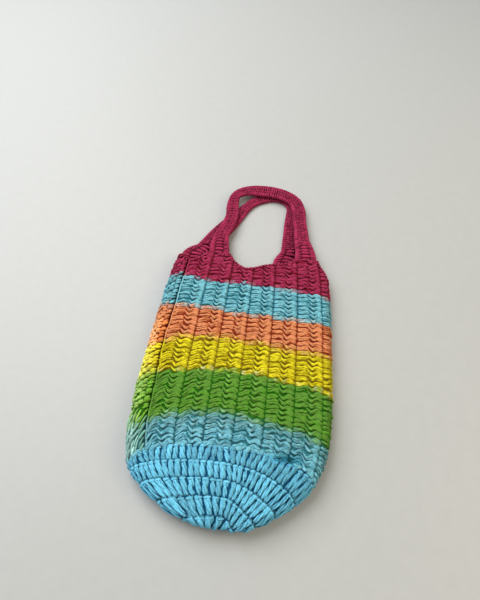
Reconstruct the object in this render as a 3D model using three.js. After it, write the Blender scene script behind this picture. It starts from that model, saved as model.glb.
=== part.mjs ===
// A round-based crochet tote bag, lying empty on its back, in millimetres with +Z up.
// Its length runs along +Y, from the fold of the base to the tops of the handles, and its front faces +Z.
// The wall is a flattened tube of ribs, the base is a disc of rounds folded in half across the bag's end,
// and each handle is a strap that grows out of two shoulders of the wall.
import * as THREE from "three";

const TURN = 2 * Math.PI;

// Fabric
const FABRIC = 8; // thickness of the crochet
const SEAT = 0.3; // gap between a handle and its shoulder
const JOIN_GAP = 0.5; // gap along the bag between the wall and the base, narrower where the join slants

// Wall
const RIBS = 15; // lengthwise ribs round the wall
const FRONT_MIDDLE = -0.018; // the front's middle, as a share of the way round
const RIB_DEPTH = 3; // depth of the groove between two ribs
const FOLD_RIB = 12; // the groove before this rib is the fold down the bag's left side
const FOLD_DEPTH = 5.5; // depth of that fold
const GIRTH = 668; // round the wall, the scale of the rim table
const FIRST_GROOVE_X = 6; // the groove where the way round the wall starts, on the front
const FRONT_SQUEEZE = 0.03; // how much closer together the ribs are on the front, and wider apart on the back
const ROWS_PER_BAND = 3; // rows of faces in one colour band
const INNER_ROWS = 6; // rows of faces on the inside

// Base
const ROUNDS = 5; // rounds of tall stitches
const ROUND_DEPTH = 2.5; // depth of the groove between two rounds
const BASE_INNER_ROWS = 4; // rows of faces on the inside
const FOLD = { x: 10, y: 2, z: 18 }; // the disc's centre, on the fold across the bag's end
const CENTRE_SHIFT = 0.45; // how far the disc's own centre lies behind the fold, in rounds
const SIDE_SHIFT = 0.4; // and how far to the left
const JOIN_MIDDLE_Y = 106; // where the wall starts, in the middle of the front and the back
const JOIN_SIDE_Y = 66; // and at its two sides
const JOIN_POWER = 3; // how long the join stays level before it turns down to the sides
const SIDE_HOLLOW = { left: 1.4, right: 0.95 }; // how far the disc's outline is drawn in towards each side

// Handles
const SHOULDER_Y = 487; // the level tops of the shoulders
const STRAIGHT = 6; // length of each handle that runs straight on from its shoulder
const STEPS_PER_ROW = 3; // sections between two rows of a handle's route
const TURN_ROWS = 3; // rows over which a handle's sections turn from its shoulder to its route

// The rounded edge and the middle of the wall's section, from the base to the rim
const WALL_SECTIONS = [
  { y: 60, left: -143, right: 126, edge: 36, crown: 48 },
  { y: 100, left: -157, right: 146, edge: 40, crown: 54 },
  { y: 140, left: -162, right: 155, edge: 41, crown: 49 },
  { y: 200, left: -164, right: 158, edge: 40, crown: 43 },
  { y: 300, left: -162, right: 158, edge: 38, crown: 38 },
  { y: 420, left: -157, right: 155, edge: 34, crown: 32 },
  { y: 490, left: -148, right: 150, edge: 30, crown: 28 },
];

// One rib, from its groove to the next
const RIB_PROFILE = [
  { across: 0, sunk: RIB_DEPTH },
  { across: 0.14, sunk: 0 },
  { across: 0.5, sunk: 0 },
  { across: 0.86, sunk: 0 },
];

// One round of the base, from the groove nearer the fold to the next
const ROUND_PROFILE = [
  { out: 0.22, sunk: 0 },
  { out: 0.78, sunk: 0 },
  { out: 1, sunk: ROUND_DEPTH },
];

// The yarn's colour bands up the wall
const BANDS = [
  { top: 151, colour: 0x74c6df },
  { top: 220, colour: 0x62a82f },
  { top: 285, colour: 0xf2d71f },
  { top: 346, colour: 0xf2935f },
  { top: 411, colour: 0x78cbdb },
  { top: Infinity, colour: 0xb5305f },
];
const BASE_COLOUR = 0x6fc6ea;
const HANDLE_COLOUR = 0xb92f61;

// The rim, by the way round the wall from the first groove: front, right side, back, left side
const RIM = [
  { along: 0, y: 455 },
  { along: 18, y: 463 },
  { along: 42, y: 469 },
  { along: 67, y: 474 },
  { along: 80, y: 480 },
  { along: 86, y: SHOULDER_Y },
  { along: 130, y: SHOULDER_Y },
  { along: 137, y: 470 },
  { along: 155, y: 446 },
  { along: 190, y: 441 },
  { along: 212, y: 460 },
  { along: 229, y: SHOULDER_Y },
  { along: 284, y: SHOULDER_Y },
  { along: 300, y: 467 },
  { along: 347, y: 452 },
  { along: 402, y: 468 },
  { along: 418, y: SHOULDER_Y },
  { along: 482, y: SHOULDER_Y },
  { along: 493, y: 481 },
  { along: 505, y: 472 },
  { along: 521, y: 465 },
  { along: 534, y: 460 },
  { along: 552, y: 468 },
  { along: 567, y: SHOULDER_Y },
  { along: 608, y: SHOULDER_Y },
  { along: 625, y: 467 },
  { along: 651, y: 453 },
  { along: GIRTH, y: 455 },
];

// Each handle's shoulders, by the way round the wall, and the route of its middle between them
const FRONT_HANDLE = {
  from: { start: 86, end: 130 },
  to: { start: 567, end: 608 },
  route: [
    { x: 104, y: 514, z: 22, width: 36 },
    { x: 98, y: 543, z: 18, width: 29 },
    { x: 95, y: 572, z: 16, width: 27 },
    { x: 91, y: 602, z: 15, width: 27 },
    { x: 88, y: 634, z: 15, width: 27 },
    { x: 77, y: 661, z: 15, width: 28 },
    { x: 51, y: 679, z: 15, width: 29 },
    { x: 20, y: 686, z: 15, width: 31 },
    { x: -11, y: 686, z: 15, width: 30 },
    { x: -38, y: 680, z: 15, width: 24 },
    { x: -54, y: 667, z: 15, width: 19 },
    { x: -58, y: 647, z: 15, width: 23 },
    { x: -58, y: 627, z: 15, width: 25 },
    { x: -56, y: 602, z: 15, width: 26 },
    { x: -61, y: 572, z: 16, width: 27 },
    { x: -69, y: 543, z: 18, width: 29 },
    { x: -70, y: 514, z: 22, width: 35 },
  ],
};
const BACK_HANDLE = {
  from: { start: 229, end: 284 },
  to: { start: 418, end: 482 },
  route: [
    { x: 77, y: 516, z: 4, width: 42 },
    { x: 75, y: 540, z: 4, width: 33 },
    { x: 73, y: 568, z: 4, width: 27 },
    { x: 73, y: 597, z: 4, width: 26 },
    { x: 74, y: 626, z: 4, width: 24 },
    { x: 73, y: 652, z: 4, width: 22 },
    { x: 60, y: 672, z: 4, width: 22 },
    { x: 37, y: 680, z: 4, width: 22 },
    { x: 12, y: 674, z: 4, width: 22 },
    { x: -9, y: 663, z: 4, width: 22 },
    { x: -24, y: 647, z: 4, width: 21 },
    { x: -36, y: 627, z: 4, width: 23 },
    { x: -49, y: 604, z: 4, width: 30 },
    { x: -62, y: 582, z: 4, width: 36 },
    { x: -74, y: 562, z: 4, width: 38 },
    { x: -86, y: 540, z: 4, width: 39 },
    { x: -94, y: 523, z: 4, width: 40 },
    { x: -102, y: 507, z: 4, width: 45 },
  ],
};

// A handle's section, three rows of stitches wide and flat underneath, in half widths and half thicknesses
const STRAP_PROFILE = [
  { across: -0.72, up: -1 },
  { across: 0.72, up: -1 },
  { across: 0.93, up: -0.7 },
  { across: 1, up: 0 },
  { across: 0.9, up: 0.75 },
  { across: 0.66, up: 1 },
  { across: 0.33, up: 0.65 },
  { across: 0, up: 1 },
  { across: -0.33, up: 0.65 },
  { across: -0.66, up: 1 },
  { across: -0.9, up: 0.75 },
  { across: -1, up: 0 },
  { across: -0.93, up: -0.7 },
];

// A column of a table read at any place between its rows, on a smooth curve that never overshoots a row
function readTable(rows, key, column, place) {
  const lastSpan = rows.length - 2;
  const next = rows.findIndex((row) => row[key] > place);
  const span = THREE.MathUtils.clamp(next < 0 ? lastSpan : next - 1, 0, lastSpan);
  const length = (i) => rows[i + 1][key] - rows[i][key];
  const secant = (i) => (rows[i + 1][column] - rows[i][column]) / length(i);
  const slope = (i) => {
    const before = secant(Math.max(i - 1, 0));
    const after = secant(Math.min(i, lastSpan));
    return before * after > 0 ? (2 * before * after) / (before + after) : 0;
  };
  const t = THREE.MathUtils.clamp((place - rows[span][key]) / length(span), 0, 1);
  const rise = (1 - t) * slope(span) - t * slope(span + 1);
  const bend = rise + (2 * t - 1) * secant(span);
  return THREE.MathUtils.lerp(rows[span][column], rows[span + 1][column], t) + t * (1 - t) * length(span) * bend;
}

// A point of the wall at height y up the bag, a share of the way round it, and sunk below its outer face
function wallPoint(y, share, sunk) {
  const [left, right, edge, crown] = ["left", "right", "edge", "crown"].map((column) =>
    readTable(WALL_SECTIONS, "y", column, y),
  );
  const radius = edge / 2;
  const flat = right - left - edge;
  const halfTurn = Math.PI * radius;
  const toRightEdge = right - radius - FIRST_GROOVE_X;
  const ripple = Math.sin(TURN * (share - FRONT_MIDDLE)) + Math.sin(TURN * FRONT_MIDDLE);
  const turned = THREE.MathUtils.euclideanModulo(share - (FRONT_SQUEEZE * ripple) / TURN, 1);
  let way = turned * 2 * (flat + halfTurn) - toRightEdge;
  const onTop = (x) => {
    const fromMiddle = (2 * x - left - right) / flat;
    const z = edge + (crown - edge) * (1 - fromMiddle ** 2) ** 2 - sunk;
    return new THREE.Vector3(x, y, z);
  };
  if (way < 0) return onTop(right - radius + way);
  if (way < halfTurn) {
    const turn = way / radius;
    const x = right - radius + (radius - sunk) * Math.sin(turn);
    return new THREE.Vector3(x, y, radius + (radius - sunk) * Math.cos(turn));
  }
  way -= halfTurn;
  if (way < flat) return new THREE.Vector3(right - radius - way, y, sunk);
  way -= flat;
  if (way < halfTurn) {
    const turn = way / radius;
    const x = left + radius - (radius - sunk) * Math.sin(turn);
    return new THREE.Vector3(x, y, radius - (radius - sunk) * Math.cos(turn));
  }
  way -= halfTurn;
  return onTop(left + radius + way);
}

// How far a place round the wall lies from the middle of the front or back, 0, towards a side, 1
function towardsSide(share) {
  const way = THREE.MathUtils.euclideanModulo(2 * (share - FRONT_MIDDLE) + 0.5, 1) - 0.5;
  return 2 * Math.abs(way);
}

function joinY(share) {
  return JOIN_SIDE_Y + (JOIN_MIDDLE_Y - JOIN_SIDE_Y) * (1 - towardsSide(share) ** JOIN_POWER);
}

function rimY(share) {
  return readTable(RIM, "along", "y", share * GIRTH);
}

// How far out a round lies on the folded disc: the rounds sit nearer the fold on the front and the right
function roundOut(round, share) {
  const angle = TURN * (share - FRONT_MIDDLE);
  const shift = Math.min(round, 1) * (CENTRE_SHIFT * Math.cos(angle) + SIDE_SHIFT * Math.sin(angle));
  return (round - shift) / (ROUNDS - shift);
}

// A point of the folded disc, from the fold, 0, out to the wall, 1: on its left the rounds are drawn out sideways
function basePoint(out, share, sunk) {
  const edge = wallPoint(joinY(share), share, sunk);
  edge.y -= JOIN_GAP;
  const isLeft = edge.x < FOLD.x;
  const sideways = isLeft ? Math.sin((out * TURN) / 4) : out;
  const hollow = (isLeft ? SIDE_HOLLOW.left : SIDE_HOLLOW.right) * towardsSide(share) ** 2;
  const drawn = THREE.MathUtils.lerp(out, sideways, towardsSide(share) ** 2);
  const outline = drawn ** (1 + hollow);
  const bulge = Math.sqrt(drawn * (2 - drawn));
  return new THREE.Vector3(
    THREE.MathUtils.lerp(FOLD.x, edge.x, sideways),
    THREE.MathUtils.lerp(FOLD.y + sunk, edge.y, outline),
    THREE.MathUtils.lerp(FOLD.z, edge.z, bulge),
  );
}

// A closed body over a stack of rings with as many points each, split along the shorter diagonals: its two
// ends come to a pole each, or, with no poles, the last ring joins the first
function bodyOverRings(rings, poles) {
  const points = rings.flat();
  const around = rings[0].length;
  const faces = [];
  const at = (ring, i) => (ring % rings.length) * around + (i % around);
  const spans = poles ? rings.length - 1 : rings.length;
  for (let ring = 0; ring < spans; ring += 1) {
    for (let i = 0; i < around; i += 1) {
      const [a, b, c, d] = [at(ring, i), at(ring, i + 1), at(ring + 1, i + 1), at(ring + 1, i)];
      const isFlatter = points[a].distanceTo(points[c]) < points[b].distanceTo(points[d]);
      faces.push(...(isFlatter ? [a, b, c, a, c, d] : [a, b, d, b, c, d]));
    }
  }
  if (poles) {
    const firstPole = points.push(poles[0]) - 1;
    const lastPole = points.push(poles[1]) - 1;
    for (let i = 0; i < around; i += 1) {
      faces.push(firstPole, at(0, i + 1), at(0, i));
      faces.push(lastPole, at(spans, i), at(spans, i + 1));
    }
  }
  const geometry = new THREE.BufferGeometry().setFromPoints(points);
  geometry.setIndex(faces);
  return geometry;
}

// Places round the wall at each point of each rib, with the depth there
function ribStations() {
  return Array.from({ length: RIBS }, (_, rib) =>
    RIB_PROFILE.map(({ across, sunk }) => {
      const isFold = rib === FOLD_RIB && across === 0;
      return { share: (rib + across) / RIBS, sunk: isFold ? FOLD_DEPTH : sunk };
    }),
  ).flat();
}

function fabric(colour, bands = false) {
  return new THREE.MeshStandardMaterial({ color: colour, vertexColors: bands, roughness: 0.95, metalness: 0 });
}

// Each triangle takes the colour of the band that its middle lies in
function paintBands(geometry) {
  const painted = geometry.toNonIndexed();
  const position = painted.getAttribute("position");
  const colours = [];
  for (let i = 0; i < position.count; i += 3) {
    const middleY = (position.getY(i) + position.getY(i + 1) + position.getY(i + 2)) / 3;
    const { colour } = BANDS.find(({ top }) => middleY < top);
    const shade = new THREE.Color(colour).toArray();
    colours.push(...shade, ...shade, ...shade);
  }
  painted.setAttribute("color", new THREE.Float32BufferAttribute(colours, 3));
  return painted;
}

function makeWall() {
  const stations = ribStations();
  const heights = (share) => [joinY(share), ...BANDS.slice(0, -1).map(({ top }) => top), rimY(share)];
  const heightAt = (share, row) => {
    const edges = heights(share);
    const band = Math.min(Math.floor(row / ROWS_PER_BAND), BANDS.length - 1);
    return THREE.MathUtils.lerp(edges[band], edges[band + 1], row / ROWS_PER_BAND - band);
  };
  const outer = [];
  const rowCount = BANDS.length * ROWS_PER_BAND;
  for (let row = 0; row <= rowCount; row += 1) {
    outer.push(stations.map(({ share, sunk }) => wallPoint(heightAt(share, row), share, sunk)));
  }
  const inner = [];
  for (let row = INNER_ROWS; row >= 0; row -= 1) {
    const height = (share) => THREE.MathUtils.lerp(joinY(share), rimY(share), row / INNER_ROWS);
    inner.push(stations.map(({ share }) => wallPoint(height(share), share, FABRIC)));
  }
  const geometry = paintBands(bodyOverRings([...outer, ...inner]));
  return new THREE.Mesh(geometry, fabric(0xffffff, true));
}

function makeBase() {
  const stations = ribStations();
  const ringAt = (round, sunk) => stations.map(({ share }) => basePoint(roundOut(round, share), share, sunk));
  const rings = [];
  for (let round = 0; round < ROUNDS; round += 1) {
    for (const { out, sunk } of ROUND_PROFILE) {
      rings.push(ringAt(round + out, sunk));
    }
  }
  // The disc's edge meets the ends of the wall's ribs
  rings[rings.length - 1] = stations.map(({ share, sunk }) => basePoint(1, share, sunk));
  for (let row = BASE_INNER_ROWS; row > 0; row -= 1) {
    rings.push(ringAt((row / BASE_INNER_ROWS) * ROUNDS, FABRIC));
  }
  const poles = [basePoint(0, 0, 0), basePoint(0, 0, FABRIC)];
  return new THREE.Mesh(bodyOverRings(rings, poles), fabric(BASE_COLOUR));
}

// The rows of a handle at one shoulder: on the wall's top edge, and a little straight on from it
function shoulderRows({ start, end }) {
  const foot = wallPoint(SHOULDER_Y, (start + end) / 2 / GIRTH, FABRIC / 2);
  const outerCorner = wallPoint(SHOULDER_Y, start / GIRTH, FABRIC / 2);
  const innerCorner = wallPoint(SHOULDER_Y, end / GIRTH, FABRIC / 2);
  const width = outerCorner.distanceTo(innerCorner);
  return [SEAT, STRAIGHT].map((up) => ({ x: foot.x, y: SHOULDER_Y + up, z: foot.z, width }));
}

function makeHandle({ from, to, route }) {
  const rows = [...shoulderRows(from), ...route, ...shoulderRows(to).reverse()];
  const curve = new THREE.CatmullRomCurve3(rows.map(({ x, y, z }) => new THREE.Vector3(x, y, z)));
  const steps = (rows.length - 1) * STEPS_PER_ROW;
  const up = new THREE.Vector3(0, 0, 1);
  const rings = [];
  for (let step = 0; step <= steps; step += 1) {
    const middle = curve.getPoint(step / steps);
    // A section lies along the rim at a shoulder, and turns to stand across the route
    const turned = THREE.MathUtils.smoothstep(Math.min(step, steps - step) / STEPS_PER_ROW, 0, TURN_ROWS);
    const alongRim = new THREE.Vector3(step < steps / 2 ? -1 : 1, 0, 0);
    const crosswise = up.clone().cross(curve.getTangent(step / steps)).normalize();
    const side = alongRim.lerp(crosswise, turned).normalize();
    const row = Math.min(Math.floor(step / STEPS_PER_ROW), rows.length - 2);
    const width = THREE.MathUtils.lerp(rows[row].width, rows[row + 1].width, step / STEPS_PER_ROW - row);
    rings.push(
      STRAP_PROFILE.map(({ across, up: lift }) =>
        middle
          .clone()
          .addScaledVector(side, (across * width) / 2)
          .addScaledVector(up, (lift * FABRIC) / 2),
      ),
    );
  }
  const poles = [curve.getPoint(0), curve.getPoint(1)];
  return new THREE.Mesh(bodyOverRings(rings, poles), fabric(HANDLE_COLOUR));
}

function makeBag() {
  const pieces = {
    wall: makeWall(),
    base: makeBase(),
    handle_front: makeHandle(FRONT_HANDLE),
    handle_back: makeHandle(BACK_HANDLE),
  };
  const bag = new THREE.Group();
  for (const [name, mesh] of Object.entries(pieces)) {
    mesh.name = name;
    mesh.geometry.computeVertexNormals();
    bag.add(mesh);
  }
  // The origin is in the middle of the surface that the bag lies on
  const box = new THREE.Box3().setFromObject(bag);
  const middle = box.getCenter(new THREE.Vector3());
  bag.position.set(-middle.x, -middle.y, -box.min.z);
  return bag;
}

export default makeBag();
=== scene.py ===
"""Looks of a crochet tote bag that lies empty on its back: yarn stitches over the form of its solids.

Sizes are in millimetres in the bag's own frame: x across, y up the bag from the fold of its base, z up from
the surface it lies on. Meshes are made in metres in the part's frame.
"""
import math

import bpy
import numpy as np
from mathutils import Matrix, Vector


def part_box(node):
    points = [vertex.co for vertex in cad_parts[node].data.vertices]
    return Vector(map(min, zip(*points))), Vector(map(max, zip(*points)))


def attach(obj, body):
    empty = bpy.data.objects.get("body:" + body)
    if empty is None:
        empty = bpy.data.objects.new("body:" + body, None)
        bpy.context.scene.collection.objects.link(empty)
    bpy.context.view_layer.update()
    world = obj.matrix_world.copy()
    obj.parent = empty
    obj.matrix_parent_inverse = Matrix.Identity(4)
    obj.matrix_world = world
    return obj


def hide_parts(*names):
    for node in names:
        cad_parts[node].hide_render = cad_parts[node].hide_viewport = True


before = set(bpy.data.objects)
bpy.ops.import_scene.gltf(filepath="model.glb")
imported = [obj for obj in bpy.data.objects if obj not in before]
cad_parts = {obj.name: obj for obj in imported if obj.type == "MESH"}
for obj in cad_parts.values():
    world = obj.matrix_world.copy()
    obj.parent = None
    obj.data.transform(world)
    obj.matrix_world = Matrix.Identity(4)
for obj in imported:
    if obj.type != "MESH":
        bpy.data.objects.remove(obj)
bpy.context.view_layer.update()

TURN = 2 * math.pi
METRE = 0.001
RANDOM = np.random.default_rng(7)

# Fabric
FABRIC = 8.0  # thickness of the crochet
CORE_SUNK = FABRIC / 2  # the yarn's middle, below the outer face
FLOOR_CLEAR = 0.1  # lowest point of any yarn

# Thin closed webs behind the stitches, dark with painted shade
BACKING = 1.2  # thickness
WEB_SHADE = 0.36  # painted shade: light left on a web, against its yarn
GROOVE_SHADE = 0.8  # the same in the wall's grooves, against its ribs
GROOVE_REACH = (0.03, 0.1)  # where a groove turns into its rib, in ribs
LOW_WEB = 0.42  # how much lighter the ribs' web's painted shade is low on the wall
LOW_WEB_Y = (175.0, 150.0)  # it grows lighter between these
WALL_WEB_POINTS = (375, 44)  # round and up
BASE_WEB_SHADE = 0.8 * WEB_SHADE
BASE_WEB_START = 0.05  # where its first ring lies, from the fold
BASE_WEB_POINTS = (120, 24)  # round and out
STRAP_WEB_SHADE = 0.5
STRAP_WEB_POINTS = 120
STRAP_WEB_PROFILE = np.array([(-0.8, -0.6), (0.8, -0.6), (0.8, 0.6), (-0.8, 0.6)])  # across, up

# Wall
RIBS = 15
GIRTH = 668.0
FRONT_MIDDLE = -0.018  # as a share of the way round
FRONT_SQUEEZE = 0.03  # how much narrower ribs are there
FIRST_GROOVE_X = 6.0  # where the first rib starts
SHOULDER_Y = 487.0
RIM_CLEAR = 3.0  # how far rows stop below the rim
# The first rib of each piece, and the one after its last
WALL_PIECES = {"front_left": (12, 15), "front_right": (0, 4), "back_right": (4, 7), "back_left": (7, 11)}

# Rows of the wall
STRAIGHT_ROWS_Y = 180.0  # rows run level above this, and follow the join below it
ROW_PITCH = 9.2  # above that
LOW_PITCH = 8.1  # and below it, about
ROW_SUNK = 0.6  # how far below the yarn's middle rows run
ROW_DROP = 0.2  # how far a row dips below its height, in rows
ROW_SHOWN = 0.15  # least share of a row that is below the rim
LEAN_ACROSS = ((-105.0, -60.0, -16.0, 28.0, 73.0), (1.0, 0.7, 0.4, 0.3, 0.1))  # how much rows lean, by x
LEAN_UP = ((200.0, 260.0, 320.0), (1.0, 0.5, 0.25))  # and how much of that is left, by height
LEAN_PART = 0.2  # how much further apart leaning plies are
HOOK_SHIFT = 2.2  # how much further right hooks lie high up
HOOK_SHIFT_Y = (240.0, 320.0)  # they move over between these
PLY_TWIST = 0.22 * math.pi  # how far a stitch's two plies twist
PLY_LIFT = 1.2  # and how far that lifts them
LOW_Y = (260.0, 200.0)  # rows grow loose between these
LOW_UNEVEN = 0.7  # and how much more uneven they are
TOP_Y = (395.0, 415.0)  # the same at the top
TOP_UNEVEN = 0.6
UNEVEN_REACH = (70.0, 10.0)  # and above the join
ROW_STRAY = 0.05  # how far rows stray up and down, in rows
ROW_BUMPS = 0.35  # how far they stray in and out
HOOK_STRAY = 0.8  # how far hooks stray aside
BAND_JAG = (1.2, 1.0)  # how unevenly colours change: by row, and along it

# The fold down the left of the front, and the knots round the left side
SIDE_COLUMN = 11  # the rib round the left side
FOLD_COLUMN = 12  # the fold is the groove before this rib
FOLD_DEPTH = 2.5  # how much deeper the web lies there
FOLD_WIDTH = 0.2  # how far from the fold that ends, in ribs
FOLD_SHADE = 0.68  # light left on the knots beside it
FOLD_SHADE_REACH = (0.5, 0.95)  # where that starts and is full
FOLD_REACH = 0.6  # how far from it ribs shift with it, in ribs
CORD_PLACE = 0.05  # where the cord beside it runs, in ribs
CORD_STEPS = 150
CORD_SUNK = 2.4
CORD_RADIUS = 1.7
CORD_PALE = 0.3  # how much of it took no dye
KNOT_PITCH = 11.7  # knots up the left side
KNOT_SPLIT = 0.36  # how far apart a knot's two strands lie, in knots
KNOT_PLACES = (0.06, 0.26, 0.46, 0.66, 0.855)  # across the left side
KNOT_FORM = (4.4, 2.2, 2.3, 2.8)  # half length round and up, half width, half depth
SLANT_TOP = 148.0  # below this there are slanted strands
SLANT_FORM = (4.8, 9.0, 1.5, 2.4)

# Base: its stitches are measured in rounds along, stitches across and millimetres up
ROUNDS = 5
POSTS = (16, 32, 48, 62, 68)  # tall stitches in each round
POST_STEPS = 12
POST_SPAN = (0.005, 0.965)  # where a stitch starts in its round, and its length
POST_SUNK = 0.6  # how far below the yarn's middle it runs
POST_LEAN = (0.3, 0.1)  # how far it leans, with its neighbours and alone
POST_SWAY = 0.06  # how far it bends aside
POST_PLIES = 3
POST_TWIST = 0.6  # how far its plies twist round each other, in turns
POST_PART = (0.21, 1.8)  # how far its plies lie from its middle, across and up
POST_HALF = (0.27, 2.6)  # half width and half depth of a ply
HEAD_PLACE = 0.895  # where its head lies in the round
JOIN_KNOTS = 90  # knots round the join
FOLD = np.array([10.0, 2.0, 18.0])  # middle of the fold across the bag's end
CENTRE_SHIFT = 0.45  # how far the disc's centre lies behind the fold, in rounds
SIDE_SHIFT = 0.5  # and how far to the left
JOIN_MIDDLE_Y = 106.0  # height of the join in the middle
JOIN_SIDE_Y = 66.0  # and at the sides
JOIN_POWER = 3  # how late it turns down towards them
FULLNESS = (1.4, 0.95)  # how full the base's outline is at its left and right
JOIN_BLUE = 0.38  # how far the wall takes on the base's colour
JOIN_BLUE_REACH = (45.0, 8.0)  # how far above the join that starts and is full
FOLD_PUSH = 4.0  # how much stitches stand out at the fold

# A tuck at the right of the join, where the fabric is drawn in
TUCK_X = 88.0
TUCK_Y = 100.0
TUCK_DEPTH = 8.0
TUCK_REACH = (12.0, 3.4)  # across and up
TUCK_SHADE = 0.6  # painted shade in the crease: how much darker it is
FRONT_Z = 25.0  # only what lies above this is drawn in

# Handles and edging
SHOULDER_LAP = 6.0  # how far from its shoulder a handle's first two points lie
TURN_ROWS = 3  # points over which it turns from its shoulder
STRAP_STEPS = 40  # steps from point to point
DASH_PITCH = 5.2  # slanted stitches along a handle
DASH_ROWS = (-0.72, -0.26, 0.26, 0.72)  # where they lie across its half width
DASH_SLANT = 0.29  # how far they reach to each side, in half widths
LADDER = 46.0  # length from each shoulder that shows level bars
RUNG_PITCH = 8.6  # those bars
BEAD_PITCH = 5.6  # loops over a handle's edges
LOOP_PITCH = 6.5  # loops over the rim
LOOP_SUNK = 4.2  # how far inside an edge its loops' middle lies
LOOP_TURN = np.linspace(-0.62, 0.62, 11) * math.pi  # how a loop turns over an edge
LOOP_TAPER = np.cos(LOOP_TURN * 0.72) ** 0.6  # and grows thin towards its ends

# Light left in the crevices of each kind of stitch
YARN_CREVICE = 0.42
KNOT_CREVICE = 0.3
POST_CREVICE = 0.28
HEAD_CREVICE = 0.3
JOIN_CREVICE = 0.25
DASH_CREVICE = 0.2
RUNG_CREVICE = 0.65
BEAD_CREVICE = 0.35

WAVE = np.linspace(-1, 1, 9)  # places along a short stitch
FINE_STEPS = 400  # steps in which a line is measured

# Sections of the wall, by height: left side, right side, rounded edge and crown
WALL_SECTIONS = np.array([
    (60, -143, 126, 36, 48),
    (100, -157, 146, 40, 54),
    (140, -162, 155, 41, 49),
    (200, -164, 158, 40, 43),
    (300, -162, 158, 38, 38),
    (420, -157, 155, 34, 32),
    (490, -148, 150, 30, 28),
], float)

# How far the fold runs to the left of its groove, by height
FOLD_SHIFT = np.array([(140, 2.2), (190, 1.8), (235, 4.0), (280, 5.8), (350, 3.2), (420, 3.8)])

# Height of the rim, by the way round the wall
RIM = np.array([
    (0, 455), (18, 463), (42, 469), (67, 474), (80, 480), (86, 487), (130, 487), (137, 470),
    (155, 446), (190, 441), (212, 460), (229, 487), (284, 487), (300, 467), (347, 452), (402, 468),
    (418, 487), (482, 487), (493, 481), (505, 472), (521, 465), (534, 460), (552, 468), (567, 487),
    (608, 487), (625, 467), (651, 453), (668, 455),
], float)

# Each handle's shoulders, by the way round the wall, and its route: x, y, z, width
FRONT_HANDLE = {
    "from": (86, 130),
    "to": (567, 608),
    "route": [
        (104, 514, 22, 36), (98, 543, 18, 29), (95, 572, 16, 27), (91, 602, 15, 27), (88, 634, 15, 27),
        (77, 661, 15, 28), (51, 679, 15, 29), (20, 686, 15, 31), (-11, 686, 15, 30), (-38, 680, 15, 24),
        (-54, 667, 15, 19), (-58, 647, 15, 23), (-58, 627, 15, 25), (-56, 602, 15, 26), (-61, 572, 16, 27),
        (-69, 543, 18, 29), (-70, 514, 22, 35),
    ],
}
BACK_HANDLE = {
    "from": (229, 284),
    "to": (418, 482),
    "route": [
        (77, 516, 4, 42), (75, 540, 4, 33), (73, 568, 4, 27), (73, 597, 4, 26), (74, 626, 4, 24),
        (73, 652, 4, 22), (60, 672, 4, 22), (37, 680, 4, 22), (12, 674, 4, 22), (-9, 663, 4, 22),
        (-24, 647, 4, 21), (-36, 627, 4, 23), (-49, 604, 4, 30), (-62, 582, 4, 36), (-74, 562, 4, 38),
        (-86, 540, 4, 39), (-94, 523, 4, 40), (-102, 507, 4, 45),
    ],
}

# The two stitches of one row of the wall: place across its rib, rise in rows, further rise where the rows
# lean, lift in millimetres, a ply's half height in rows and half depth in millimetres, half distance between
# its two plies in rows, painted light (shade where a ply dips into a groove or under the hook, and a
# highlight at the bottom of the hook), and light left in the crevices. The left one is a long lens, and the
# right one hooks down in a U
LEFT_STITCH = np.array([
    (0.028, 0.20, -1.05, -2.2, 0.22, 2.0, 0.08, 0.55, 0.6),
    (0.055, 0.17, -0.92, 0.0, 0.26, 2.6, 0.18, 0.94, 0.75),
    (0.100, 0.10, -0.66, 0.6, 0.26, 2.9, 0.20, 1.01, 0.65),
    (0.150, 0.08, -0.38, 0.7, 0.26, 2.9, 0.20, 1.03, 0.52),
    (0.200, 0.14, -0.12, 0.7, 0.26, 2.9, 0.20, 1.04, 0.5),
    (0.250, 0.22, 0.10, 0.6, 0.27, 2.9, 0.20, 1.03, 0.55),
    (0.290, 0.24, 0.26, 0.4, 0.29, 2.8, 0.20, 1.01, 0.65),
    (0.330, 0.19, 0.43, 0.2, 0.31, 2.7, 0.21, 0.98, 0.75),
    (0.380, 0.13, 0.62, 0.0, 0.33, 2.6, 0.21, 0.96, 0.85),
    (0.425, 0.16, 0.72, -0.5, 0.30, 2.4, 0.18, 0.88, 0.85),
    (0.455, 0.20, 0.74, -1.6, 0.24, 2.0, 0.10, 0.60, 0.6),
    (0.470, 0.22, 0.74, -2.4, 0.18, 1.6, 0.04, 0.40, 0.4),
], float)
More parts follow.
